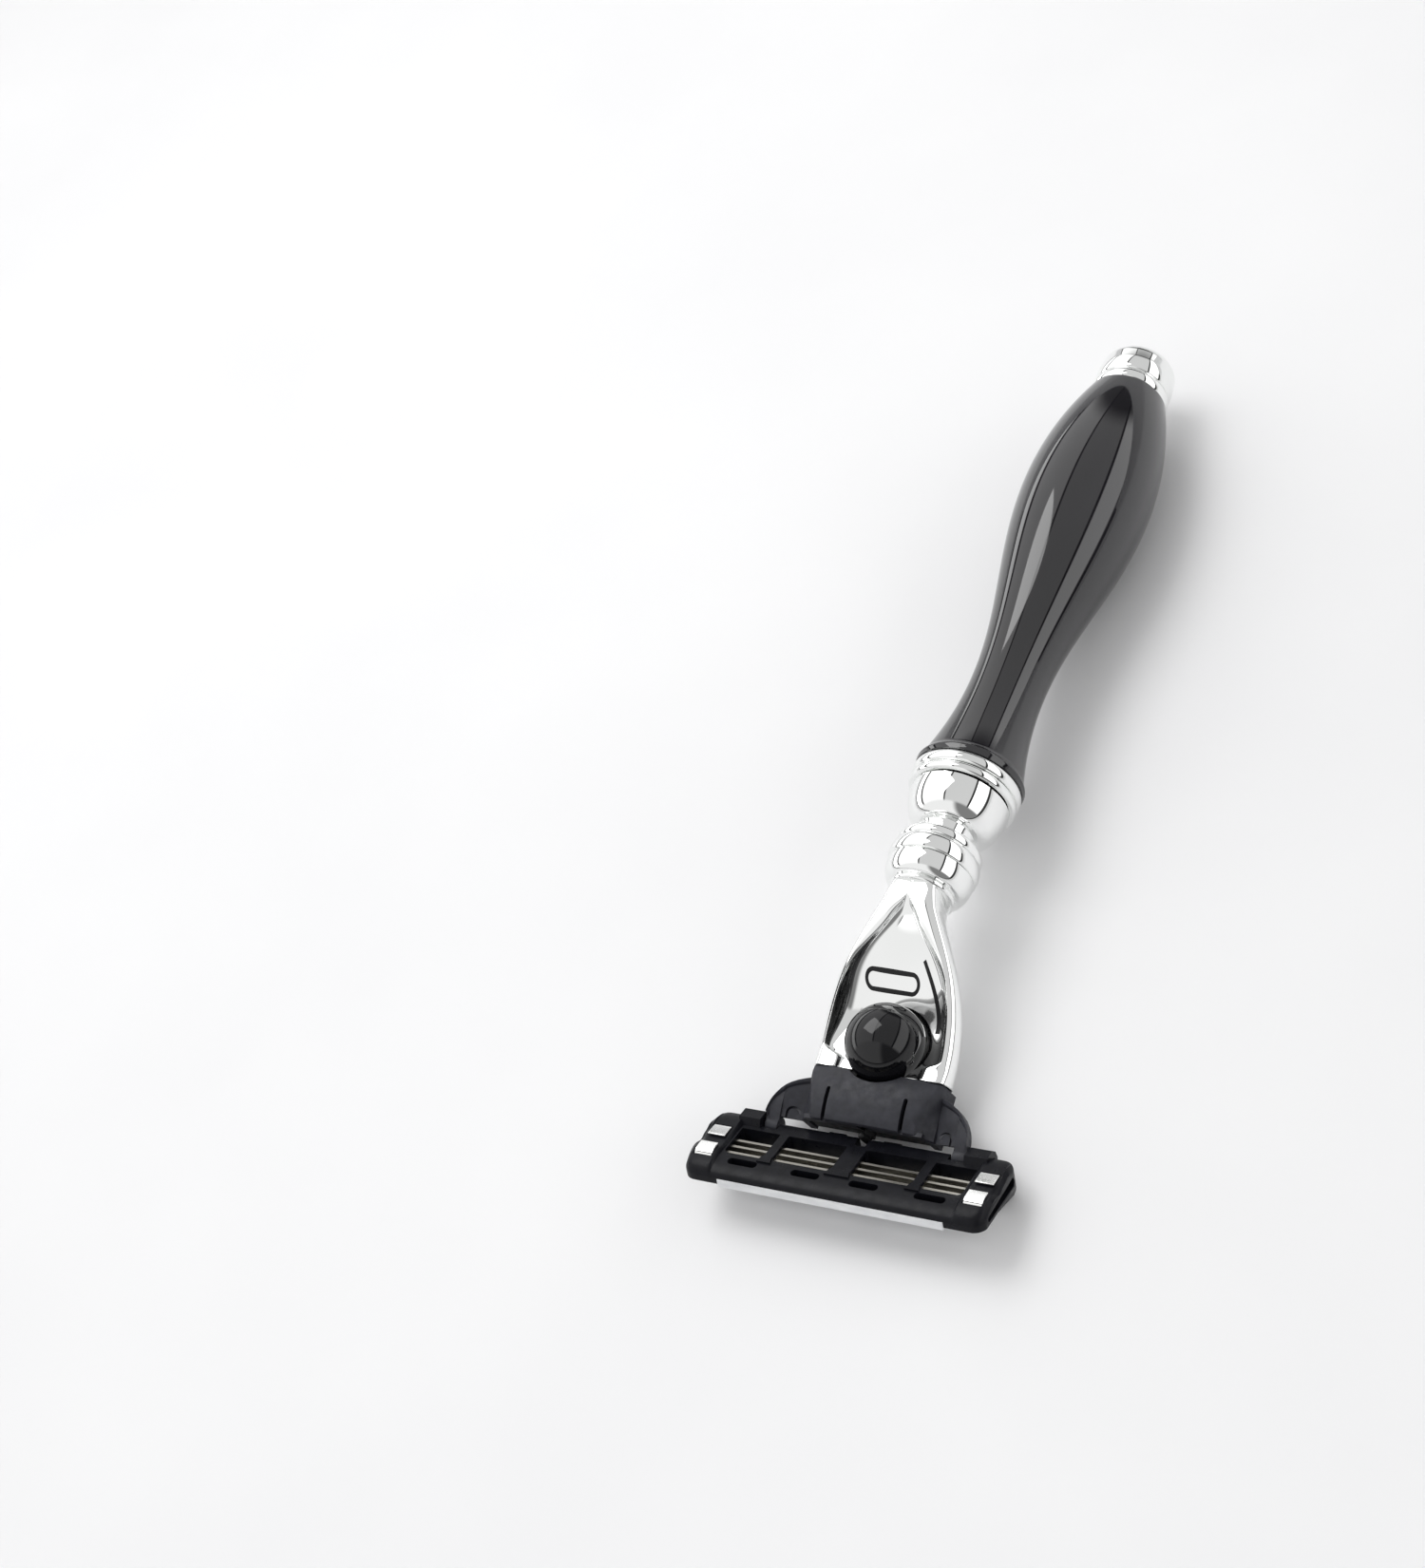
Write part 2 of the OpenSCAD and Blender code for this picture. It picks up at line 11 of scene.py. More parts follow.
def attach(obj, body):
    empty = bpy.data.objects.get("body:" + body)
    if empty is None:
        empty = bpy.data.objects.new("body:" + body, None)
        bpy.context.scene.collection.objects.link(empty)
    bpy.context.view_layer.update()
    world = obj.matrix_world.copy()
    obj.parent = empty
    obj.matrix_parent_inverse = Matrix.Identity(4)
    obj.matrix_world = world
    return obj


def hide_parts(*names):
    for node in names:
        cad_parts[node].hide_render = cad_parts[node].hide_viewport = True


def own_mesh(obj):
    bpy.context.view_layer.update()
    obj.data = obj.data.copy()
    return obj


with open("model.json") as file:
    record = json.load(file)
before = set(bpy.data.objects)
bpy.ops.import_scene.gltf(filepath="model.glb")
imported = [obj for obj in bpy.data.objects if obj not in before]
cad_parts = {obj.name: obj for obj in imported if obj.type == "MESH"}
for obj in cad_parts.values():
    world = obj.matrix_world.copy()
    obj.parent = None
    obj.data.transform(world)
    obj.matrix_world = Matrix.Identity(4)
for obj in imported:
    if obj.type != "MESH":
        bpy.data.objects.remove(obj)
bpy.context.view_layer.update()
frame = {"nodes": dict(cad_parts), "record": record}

# ---- Frames: everything is drawn in millimetres and set down by one of these ----
MM = 0.001
# Middle of the neck, foot of the nose and pivot of the cartridge, in the handle's frame
NECK_Y = -8.4
NOSE_Y, NOSE_Z, NOSE_TILT = -38.6, -9.0, math.radians(14)
PIVOT_Y, PIVOT_Z, CARTRIDGE_TILT = -46.4, -10.9, math.radians(-22.5)

neck = frame["record"]["mounts"][0]
ALONG = Vector(neck["axis"]).normalized()
AXIS_ORIGIN = Vector(neck["pos_m"]) - ALONG * NECK_Y * MM
HANDLE = (
    Matrix.Translation(AXIS_ORIGIN)
    @ Matrix.Rotation(math.atan2(ALONG.z, ALONG.y), 4, "X")
    @ Matrix.Scale(MM, 4)
)
NOSE = HANDLE @ Matrix.Translation((0, NOSE_Y, NOSE_Z)) @ Matrix.Rotation(NOSE_TILT, 4, "X")
CARTRIDGE = HANDLE @ Matrix.Translation((0, PIVOT_Y, PIVOT_Z)) @ Matrix.Rotation(CARTRIDGE_TILT, 4, "X")


def mix(a, b, t):
    return a + (b - a) * t


def smooth(t):
    t = min(max(t, 0.0), 1.0)
    return t * t * (3 - 2 * t)


def lookup(x, table):
    """Value at x from a list of (x, value), along straight lines between its points."""
    if x <= table[0][0]:
        return table[0][1]
    for (x0, v0), (x1, v1) in zip(table, table[1:]):
        if x <= x1:
            return mix(v0, v1, (x - x0) / (x1 - x0))
    return table[-1][1]


# ---- Materials ----
NOISE_ROUGHNESS = 0.55
NOISE_RANGE = (0.35, 0.65)  # a noise's values lie mostly between these


class Shader:
    """A Principled material with short ways to add procedural detail."""

    def __init__(self, name, color, roughness, metallic=0.0, **sockets):
        self.material = bpy.data.materials.new(name)
        self.material.use_nodes = True
        self.nodes = self.material.node_tree.nodes
        self.links = self.material.node_tree.links
        self.shader = self.nodes["Principled BSDF"]
        self.shader.inputs["Base Color"].default_value = (*color, 1)
        self.shader.inputs["Metallic"].default_value = metallic
        self.shader.inputs["Roughness"].default_value = roughness
        for socket, value in sockets.items():
            self.shader.inputs[socket.replace("_", " ")].default_value = value
        self.position = self.nodes.new("ShaderNodeTexCoord").outputs["Object"]

    def noise(self, scale, detail, stretch=(1, 1, 1)):
        mapping = self.nodes.new("ShaderNodeMapping")
        mapping.inputs["Scale"].default_value = stretch
        texture = self.nodes.new("ShaderNodeTexNoise")
        texture.inputs["Scale"].default_value = scale
        texture.inputs["Detail"].default_value = detail
        texture.inputs["Roughness"].default_value = NOISE_ROUGHNESS
        self.links.new(self.position, mapping.inputs["Vector"])
        self.links.new(mapping.outputs["Vector"], texture.inputs["Vector"])
        return texture.outputs["Fac"]

    def ramp(self, value, low, high):
        """A noise mapped to a range, or to a range of colours."""
        ramp = self.nodes.new("ShaderNodeValToRGB")
        first, last = ramp.color_ramp.elements
        first.position, last.position = NOISE_RANGE
        if not isinstance(low, tuple):
            low, high = (low,) * 3, (high,) * 3
        first.color, last.color = (*low, 1), (*high, 1)
        self.links.new(value, ramp.inputs["Fac"])
        return ramp.outputs["Color"]

    def feed(self, socket, value):
        self.links.new(value, self.shader.inputs[socket])

    def bump(self, height, distance, strength):
        node = self.nodes.new("ShaderNodeBump")
        node.inputs["Strength"].default_value = strength
        node.inputs["Distance"].default_value = distance
        self.links.new(height, node.inputs["Height"])
        self.feed("Normal", node.outputs["Normal"])


def chrome():
    s = Shader("chrome_polished", (0.9, 0.905, 0.9), metallic=1.0, roughness=0.04)
    s.feed("Roughness", s.ramp(s.noise(240, 4), 0.02, 0.05))
    s.feed("Base Color", s.ramp(s.noise(60, 2), (0.885, 0.895, 0.885), (0.925, 0.93, 0.925)))
    s.bump(s.noise(900, 2, stretch=(1, 0.15, 1)), 0.00001, 0.06)
    return s.material


def steel(name, color, roughness, grain=(0.05, 1, 1)):
    s = Shader(name, color, metallic=1.0, roughness=roughness)
    s.feed("Roughness", s.ramp(s.noise(4000, 3, stretch=grain), roughness * 0.75, roughness * 1.3))
    s.bump(s.noise(6000, 2, stretch=grain), 0.00001, 0.2)
    return s.material


def resin(name, color, roughness, gloss):
    s = Shader(name, color, roughness=roughness, IOR=1.52, Specular_IOR_Level=gloss)
    deep = tuple(c * 0.75 for c in color)
    pale = tuple(c * 1.5 for c in color)
    s.feed("Base Color", s.ramp(s.noise(90, 4, stretch=(1, 0.4, 1)), deep, pale))
    s.feed("Roughness", s.ramp(s.noise(420, 5), roughness * 0.8, roughness * 1.35))
    s.bump(s.noise(160, 2), 0.00002, 0.1)
    return s.material


def plastic(name, color, roughness, grain=2600.0, gloss=0.32):
    s = Shader(name, color, roughness=roughness, IOR=1.5, Specular_IOR_Level=gloss)
    deep = tuple(c * 0.8 for c in color)
    pale = tuple(c * 1.25 for c in color)
    s.feed("Base Color", s.ramp(s.noise(700, 4), deep, pale))
    s.feed("Roughness", s.ramp(s.noise(900, 3), roughness * 0.85, roughness * 1.2))
    s.bump(s.noise(grain, 2), 0.00002, 0.35)
    return s.material


def strip_wax():
    s = Shader("strip_white", (0.74, 0.75, 0.77), roughness=0.42, Subsurface_Weight=0.15)
    s.shader.inputs["Subsurface Radius"].default_value = (0.0006, 0.0006, 0.0006)
    s.feed("Base Color", s.ramp(s.noise(900, 4, stretch=(0.3, 1, 1)), (0.68, 0.69, 0.71), (0.79, 0.8, 0.81)))
    s.bump(s.noise(2400, 3, stretch=(0.3, 1, 1)), 0.00002, 0.3)
    return s.material


CHROME = chrome()
RESIN = resin("resin_black", (0.008, 0.0075, 0.0095), 0.05, 0.78)
BUTTON = resin("button_black", (0.004, 0.004, 0.005), 0.07, 0.4)
STEEL = steel("steel_satin", (0.6, 0.6, 0.61), 0.3)
SUPPORT = steel("steel_support", (0.4, 0.385, 0.35), 0.34)
BLADE = steel("blade_ground", (0.82, 0.83, 0.85), 0.14)
CLIP = steel("clip_bright", (0.9, 0.9, 0.89), 0.16, grain=(1, 0.1, 1))
YOKE_PLASTIC = plastic("plastic_yoke", (0.021, 0.0215, 0.028), 0.5)
HOUSING_PLASTIC = plastic("plastic_housing", (0.006, 0.0062, 0.0085), 0.32, gloss=0.14)
INNER_PLASTIC = plastic("plastic_inner", (0.007, 0.007, 0.0075), 0.55)
RUBBER = plastic("rubber_guard", (0.018, 0.019, 0.019), 0.6, grain=3400.0)
STRIP = strip_wax()
# Dark plastic for painted reflections: dark lines laid on the head's recess in place of the studio mirrored
# in the chrome
PAINTED_REFLECTION = plastic("painted_reflection_dark", (0.004, 0.004, 0.005), 0.3)


# ---- Mesh helpers ----
SMOOTH_ANGLE = 35.0
TURNED_SIDES = 128


def piece(name, verts, faces, place, material, body, nodes, smooth_angle=SMOOTH_ANGLE):
    """A mesh in millimetres in one of the frames, set down as a piece that rides on a body."""
    mesh = bpy.data.meshes.new(name)
    mesh.from_pydata([place @ Vector(v) for v in verts], [], faces)
    work = bmesh.new()
    work.from_mesh(mesh)
    bmesh.ops.remove_doubles(work, verts=work.verts, dist=1e-8)
    bmesh.ops.recalc_face_normals(work, faces=work.faces)
    work.to_mesh(mesh)
    work.free()
    mesh.materials.append(material)
    obj = bpy.data.objects.new(name, mesh)
    bpy.context.scene.collection.objects.link(obj)
    shade(obj, smooth_angle)
    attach(obj, body)
    if nodes:
        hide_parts(*nodes)
    return obj


def shade(obj, angle):
    for polygon in obj.data.polygons:
        polygon.use_smooth = True
    obj.data.set_sharp_from_angle(angle=math.radians(angle))


def bevel(obj, width, angle=SMOOTH_ANGLE):
    """Rounded edges, with the width in millimetres, where faces meet at more than the angle."""
    m = obj.modifiers.new("edges", "BEVEL")
    m.width = width * MM
    m.segments = 2
    m.limit_method = "ANGLE"
    m.angle_limit = math.radians(angle)


def subdivide(obj, levels):
    m = obj.modifiers.new("round", "SUBSURF")
    m.levels = m.render_levels = levels


def revolved(profile):
    """Verts and faces of a (radius, y) profile turned about Y, closed by its bore or at its poles."""
    sides = TURNED_SIDES
    verts = []
    for radius, y in profile:
        for k in range(sides):
            a = 2 * math.pi * k / sides
            verts.append((radius * math.sin(a), y, radius * math.cos(a)))
    faces = []
    count = len(profile)
    for i in range(count - 1 if profile[0][0] == 0 else count):
        here, after = i * sides, (i + 1) % count * sides
        for k in range(sides):
            n = (k + 1) % sides
            faces.append((here + k, here + n, after + n, after + k))
    return verts, faces


def arc(cr, cy, radius_r, radius_y, start, end, steps):
    """Points of an ellipse arc in (radius, y), angles in degrees from the radius axis."""
    points = []
    for i in range(steps + 1):
        a = math.radians(mix(start, end, i / steps))
        points.append((cr + radius_r * math.cos(a), cy + radius_y * math.sin(a)))
    return points


# ---- Grip ----
BELL_R, FOOT_Y, BELL_TOP = 7.35, 2.2, 1.0
BELLY_AT, BELLY_R, WAIST_AT, WAIST_R = 52.0, 9.1, 17.0, 5.0
GRIP_END, GRIP_TIP_R = 71.5, 5.7
FOOT_ROLL, ROD_HOLE_R = 0.35, 2.1


def grip_radius(y):
    if y >= BELLY_AT:
        along = (y - BELLY_AT) / (GRIP_END - BELLY_AT)
        return GRIP_TIP_R + (BELLY_R - GRIP_TIP_R) * (1 - along ** 2)
    if y >= WAIST_AT:
        swell = (1 - math.cos(math.pi * (y - WAIST_AT) / (BELLY_AT - WAIST_AT))) / 2
        return mix(WAIST_R, BELLY_R, swell)
    return WAIST_R + (BELL_R - FOOT_ROLL - WAIST_R) * ((WAIST_AT - y) / (WAIST_AT - FOOT_Y)) ** 2


def make_grip():
    foot = [(ROD_HOLE_R, BELL_TOP), (BELL_R - 0.25, BELL_TOP), (BELL_R - 0.07, BELL_TOP + 0.07)]
    foot += arc(BELL_R - FOOT_ROLL, FOOT_Y - 0.45, FOOT_ROLL, 0.4, -30, 60, 6)
    steps = 120
    heights = [mix(FOOT_Y + 0.12, GRIP_END, i / steps) for i in range(steps + 1)]
    profile = foot + [(grip_radius(y), y) for y in heights] + [(ROD_HOLE_R, GRIP_END)]
    verts, faces = revolved(profile)
    piece("resin_grip", verts, faces, HANDLE, RESIN, "handle", ["grip"])


# ---- Chrome turnings: rings and grooves along the axis, each round a different centre ----
NECK_R, FERRULE_BORE_R = 3.5, 2.65
FERRULES_MEET = -9.4


def make_end_cap():
    bore_r, bore_end, ring = 2.05, GRIP_END + 5.2, GRIP_END + 2.1
    cap_r, dome, tip = 5.7, GRIP_END + 5.6, GRIP_END + 8.9
    profile = [(0, bore_end), (bore_r, bore_end), (bore_r, GRIP_END), (cap_r - 0.45, GRIP_END),
               (cap_r - 0.35, GRIP_END + 0.1)]
    profile += arc(cap_r - 0.5, mix(GRIP_END, ring, 0.5), 0.5, (ring - GRIP_END) / 2 - 0.12, -62, 78, 20)
    profile += [(cap_r - 0.75, ring - 0.04), (cap_r - 0.75, ring + 0.08)]
    profile += arc(cap_r - 0.5, mix(ring, dome, 0.45), 0.4, (dome - ring) * 0.45 - 0.12, -80, 40, 18)
    profile += arc(0, dome, cap_r - 0.3, tip - dome, 4, 90, 28)
    profile[-1] = (0, tip)
    verts, faces = revolved(profile)
    piece("chrome_end_cap", verts, faces, HANDLE, CHROME, "handle", ["end_cap"])


def make_upper_ferrule():
    step, groove, end = -0.62, -2.0, -7.4
    profile = [(FERRULE_BORE_R, BELL_TOP), (BELL_R - 0.5, BELL_TOP)]
    profile += arc(BELL_R - 0.45, mix(BELL_TOP, step, 0.5), 0.45, (BELL_TOP - step) / 2 - 0.03, 82, -75, 20)
    profile += [(BELL_R - 0.95, step + 0.02), (BELL_R - 0.95, step - 0.1)]
    profile += arc(BELL_R - 0.6, mix(step, groove, 0.5), 0.45, (step - groove) / 2 - 0.06, 78, -80, 18)
    profile += [(BELL_R - 1.3, groove - 0.02), (BELL_R - 1.3, groove - 0.16)]
    profile += arc(NECK_R, groove - 0.2, BELL_R - 0.8 - NECK_R, groove - 0.2 - end, 0, -84, 30)
    profile += [(NECK_R + 0.12, end + 0.05), (NECK_R, end - 0.15), (NECK_R, FERRULES_MEET),
                (FERRULE_BORE_R, FERRULES_MEET)]
    verts, faces = revolved(profile)
    piece("chrome_bell_ferrule", verts, faces, HANDLE, CHROME, "handle", ["upper_ferrule"])


def make_lower_ferrule():
    bulb, top = 5.95, FERRULES_MEET
    first, second, end, collar = -11.1, -13.6, -16.5, -17.4
    profile = [(FERRULE_BORE_R, top), (bulb - 1.1, top), (bulb - 0.85, top - 0.08)]
    profile += arc(bulb - 0.75, mix(top, first, 0.5), 0.42, 0.72, 60, -70, 12)
    profile += [(bulb - 0.95, first + 0.05), (bulb - 0.95, first - 0.07)]
    profile += arc(bulb - 0.4, mix(first, second, 0.5), 0.4, (first - second) / 2 - 0.08, 78, -78, 24)
    profile += [(bulb - 0.95, second + 0.03), (bulb - 0.95, second - 0.11)]
    profile += arc(NECK_R + 0.7, second - 0.12, bulb - NECK_R - 0.95, second - 0.12 - end, 0, -72, 20)
    profile += [(NECK_R + 0.72, end + 0.02)]
    profile += arc(NECK_R + 0.45, mix(end, collar, 0.5), 0.42, (end - collar) / 2 - 0.03, 80, -80, 14)
    profile += [(NECK_R + 0.3, collar), (FERRULE_BORE_R, collar)]
    verts, faces = revolved(profile)
    piece("chrome_bulb_ferrule", verts, faces, HANDLE, CHROME, "handle", ["lower_ferrule"])


# ---- Head: one smooth loft with a dished thumb recess ----
HEAD_TOP, HEAD_HALF, HEAD_DROP = -17.3, 9.3, 9.3
# Half width of the head and of its recess, as (distance below the origin, share of HEAD_HALF)
FLARE = [(17.4, 0.38), (20, 0.455), (22, 0.565), (24, 0.68), (26, 0.79), (28, 0.88), (30, 0.935),
         (32, 0.975), (35, 1), (41, 1)]
RECESS = [(19.6, 0.02), (20.4, 0.1), (21.2, 0.17), (22.5, 0.25), (24, 0.4), (25.5, 0.56), (27.5, 0.7),
          (29.5, 0.78), (31, 0.825), (33, 0.86), (35.5, 0.88), (36.6, 0.85), (37.2, 0.72), (37.5, 0.6),
          (42, 0.6)]
# Where the recess's points lie, from its edge to its middle, as shares of its half width
DISH_SHARES = (0.985, 0.92, 0.78, 0.54, 0.27, 0)
COLLAR_R, RIM_RISE, BELLY_SINK = 3.55, 2.7, 2.8
DISH_START, DISH_TOP, DISH_BOTTOM = -19.4, 1.3, -7.05
HEAD_END = -38.2


def head_section(y):
    """Half outline of the head at one station, from the belly round to the middle of the recess."""
    mid = -HEAD_DROP * smooth((HEAD_TOP - y) / 23)
    half = HEAD_HALF * lookup(-y, FLARE)
    grown = smooth((HEAD_TOP - y) / 8)
    rim = mid + mix(COLLAR_R, RIM_RISE, grown)
    belly = mid - mix(COLLAR_R, BELLY_SINK, smooth((HEAD_TOP - y) / 14))
    crest = half - mix(1.15, 1.25, grown)
    inner = HEAD_HALF * lookup(-y, RECESS)
    sunk = smooth((DISH_START - y) / 1.4)
    floor = mix(rim, mix(DISH_TOP, DISH_BOTTOM, smooth((-20 - y) / 13)), sunk)
    edge = min(inner + 0.28, crest - 0.1)
    inner = min(inner, edge - 0.1)
    lip = rim - mix(0.02, 0.22, sunk)
    power = mix(3.0, 4.5, smooth((-26 - y) / 6))  # steeper walls towards the nose
    dish = []
    for share in DISH_SHARES:
        dish.append((share * inner, lip - (lip - floor) * (1 - share ** power) ** (1 / power)))
    return [
        (0, belly),
        (0.4 * half, belly),
        (0.72 * half, belly + 0.25),
        (0.93 * half, mix(belly, mid, 0.5)),
        (half, mid),
        (half - 0.08, mix(mid, rim, 0.45)),
        (mix(half, crest, 0.4), mix(mid, rim, 0.82)),
        (crest, rim - 0.05),
        (mix(crest, edge, 0.6), rim + 0.02),
        (edge, rim - 0.06 * sunk),
        (inner, lip),
    ] + dish


def make_head():
    stations = [-17.0, -17.6, -18.4, -19.2, -19.8, -20.4, -21.2, -22.2, -23.4, -24.6, -26, -27.5, -29,
                -30.5, -32, -33.6, -35, -36, -36.7, -37.1, -37.45, -37.8]
    rings = []
    for y in stations:
        rings.append([(x, y, z) for x, z in head_section(y)])
    for lift in (0.14, 0.0):  # two rings on the slanting face that the nose stands on
        last = []
        for x, z in head_section(HEAD_END):
            last.append((x, NOSE_Y - (z - NOSE_Z) * math.tan(NOSE_TILT) + lift, z))
        rings.append(last)
    half_count = len(rings[0])
    verts, faces = [], []
    for ring in rings:
        verts += ring + [(-x, y, z) for x, y, z in ring[-2:0:-1]]
    count = 2 * half_count - 2
    for i in range(len(rings) - 1):
        for k in range(count):
            n = (k + 1) % count
            faces.append((i * count + k, i * count + n, (i + 1) * count + n, (i + 1) * count + k))
    # Each end is closed by a strip of faces between its belly and its rim, left and right of X = 0
    for base in (0, (len(rings) - 1) * count):
        for side in (1, -1):
            for j in range(half_count // 2):
                corners = dict.fromkeys((j, j + 1, half_count - 2 - j, half_count - 1 - j))
                faces.append(tuple(base + (side * q) % count for q in corners))
    head = piece("chrome_head", verts, faces, HANDLE, CHROME, "handle", ["head_body"],
                 smooth_angle=60.0)
    subdivide(head, 2)
    return head


# Painted reflections on the recess floor: sizes of the dark lines, then where the oval and the stroke lie
LINE_LIFT, LINE_DEPTH, LINE_HALF = 0.05, 0.12, 0.2
OVAL_X, OVAL_Y, OVAL_HALF, OVAL_R = -1.2, -27.65, 2.6, 0.9
STROKE_X, STROKE_Y, STROKE_END_HALF = (3.0, 5.7), (-25.4, -32.4), 0.3
ABOVE_ALL = 20  # a height clear above the head


def heights_over(obj, place):
    """Function that gives the height of an object's finished surface under a point of a frame."""
    tree = BVHTree.FromObject(obj, bpy.context.evaluated_depsgraph_get())
    down = (place.to_3x3() @ Vector((0, 0, -1))).normalized()
    back = place.inverted()

    def height(x, y):
        hit = tree.ray_cast(place @ Vector((x, y, ABOVE_ALL)), down)[0]
        return (back @ hit).z

    return height


def floor_line(path, half, closed, height):
    """A fine dark line let into the recess floor along (x, y) points, standing just clear of the metal: a
    painted reflection.

    half gives its half width, and height the floor's height.
    """
    verts, faces = [], []
    count = len(path)
    for i, (x, y) in enumerate(path):
        x0, y0 = path[i - 1] if closed or i else path[0]
        x1, y1 = path[(i + 1) % count] if closed or i < count - 1 else path[-1]
        run = math.hypot(x1 - x0, y1 - y0)
        wide = half(i / (count - 1))
        nx, ny = (y1 - y0) / run * wide, (x0 - x1) / run * wide
        for side, lift in ((1, LINE_LIFT), (-1, LINE_LIFT), (-1, -LINE_DEPTH), (1, -LINE_DEPTH)):
            px, py = x + side * nx, y + side * ny
            verts.append((px, py, height(px, py) + lift))
    for i in range(count if closed else count - 1):
        a, b = 4 * i, 4 * ((i + 1) % count)
        faces += [(a + k, a + (k + 1) % 4, b + (k + 1) % 4, b + k) for k in range(4)]
    if not closed:
        last = 4 * (count - 1)
        faces += [(0, 1, 2, 3), (last, last + 1, last + 2, last + 3)]
    return verts, faces


def make_painted_reflections(head):
    """Painted reflections: the dark outline behind the button and the dark stroke down the recess's
    right-hand side, laid on the chrome as dark bands where the metal only mirrors the studio.
    """
    height = heights_over(head, HANDLE)
    oval = []
    for end, start in ((1, -90), (-1, 90)):
        for i in range(19):
            a = math.radians(start + 10 * i)
            oval.append((OVAL_X + end * OVAL_HALF + OVAL_R * math.cos(a), OVAL_Y + OVAL_R * math.sin(a)))
    oval_mesh = floor_line(oval, lambda t: LINE_HALF, True, height)
    steps = 24
    stroke = []
    for t in (i / steps for i in range(steps + 1)):
        stroke.append((mix(*STROKE_X, math.sin(math.radians(90 * t))), mix(*STROKE_Y, t)))
    stroke_mesh = floor_line(stroke, lambda t: mix(LINE_HALF, STROKE_END_HALF, t), False, height)
    verts, faces = joined([oval_mesh, stroke_mesh])
    piece("painted_reflection_lines", verts, faces, HANDLE, PAINTED_REFLECTION, "handle", ())


# ---- Solids as (verts, faces) in millimetres: prisms, lofts, unions and cuts ----
DISC_SIDES, CORNER_STEPS = 32, 6
WELD = 0.003
LARGEST_HOLE = 8  # holes of up to this many sides are filled


def joined(solids):
    """The solids as one, each left as it is."""
    verts, faces = [], []
    for more_verts, more_faces in solids:
        base = len(verts)
        verts += more_verts
        faces += [tuple(base + k for k in face) for face in more_faces]
    return verts, faces


def prism(outline, low, high, axis="x"):
    """Outline of (y, z) points run along X, or of (x, y) points run along Z."""
    place = (lambda a, b, h: (h, a, b)) if axis == "x" else (lambda a, b, h: (a, b, h))
    count = len(outline)
    verts = [place(a, b, low) for a, b in outline] + [place(a, b, high) for a, b in outline]
    faces = [tuple(range(count)), tuple(range(2 * count - 1, count - 1, -1))]
    faces += [(k, (k + 1) % count, count + (k + 1) % count, count + k) for k in range(count)]
    return verts, faces


def block(low, high):
    (x0, y0, z0), (x1, y1, z1) = low, high
    return prism([(y0, z0), (y1, z0), (y1, z1), (y0, z1)], x0, x1)


def rounded(a0, b0, a1, b1, radius):
    """Corner points of a rounded rectangle, with one radius or one for each corner."""
    radii = radius if isinstance(radius, tuple) else (radius,) * 4
    corners = ((a1, b1, 0), (a0, b1, 90), (a0, b0, 180), (a1, b0, 270))
    points = []
    for (a, b, start), r in zip(corners, radii):
        ca = a - r if start in (0, 270) else a + r
        cb = b - r if start in (0, 90) else b + r
        for i in range(CORNER_STEPS + 1):
            turn = math.radians(start + 90 * i / CORNER_STEPS)
            points.append((ca + r * math.cos(turn), cb + r * math.sin(turn)))
    return points


def disc(cy, cz, radius):
    turns = (2 * math.pi * k / DISC_SIDES for k in range(DISC_SIDES))
    return [(cy + radius * math.cos(turn), cz + radius * math.sin(turn)) for turn in turns]


def mirrored(solids):
    """The solids and their mirror images across X = 0."""
    images = []
    for verts, faces in solids:
        images.append(([(-x, y, z) for x, y, z in verts], [face[::-1] for face in faces]))
    return solids + images


def loft(rings):
    """Closed solid through rings of equally many points."""
    count = len(rings[0])
    verts = [point for ring in rings for point in ring]
    faces = [tuple(range(count)), tuple(len(verts) - 1 - k for k in range(count))]
    for i in range(len(rings) - 1):
        for k in range(count):
            n = (k + 1) % count
            faces.append((i * count + k, (i + 1) * count + k, (i + 1) * count + n, i * count + n))
    return verts, faces


def to_object(solid):
    mesh = bpy.data.meshes.new("work")
    mesh.from_pydata(solid[0], [], solid[1])
    work = bmesh.new()
    work.from_mesh(mesh)
    bmesh.ops.remove_doubles(work, verts=work.verts, dist=1e-5)
    bmesh.ops.recalc_face_normals(work, faces=work.faces)
    work.to_mesh(mesh)
    work.free()
    obj = bpy.data.objects.new("work", mesh)
    bpy.context.scene.collection.objects.link(obj)
    return obj


def carve(solids, cuts):
    """Verts and faces of the solids made one, less the cuts, with the tiniest edges welded."""
    base = to_object(solids[0])
    tools = [(to_object(solid), "UNION") for solid in solids[1:]]
    tools += [(to_object(cut), "DIFFERENCE") for cut in cuts]
    for tool, operation in tools:
        m = base.modifiers.new("carve", "BOOLEAN")
        m.operation, m.object, m.solver = operation, tool, "EXACT"
    graph = bpy.context.evaluated_depsgraph_get()
    work = bmesh.new()
    work.from_mesh(base.evaluated_get(graph).to_mesh())
    bmesh.ops.remove_doubles(work, verts=work.verts, dist=WELD)
    bmesh.ops.dissolve_degenerate(work, dist=WELD, edges=work.edges)
    bmesh.ops.holes_fill(work, edges=work.edges, sides=LARGEST_HOLE)
    bmesh.ops.delete(work, geom=[v for v in work.verts if not v.link_faces], context="VERTS")
    work.verts.index_update()
    verts = [tuple(v.co) for v in work.verts]
    faces = [tuple(v.index for v in face.verts) for face in work.faces]
    work.free()
    for obj in [base] + [tool for tool, _ in tools]:
        mesh = obj.data
        bpy.data.objects.remove(obj)
        bpy.data.meshes.remove(mesh)
    return verts, faces


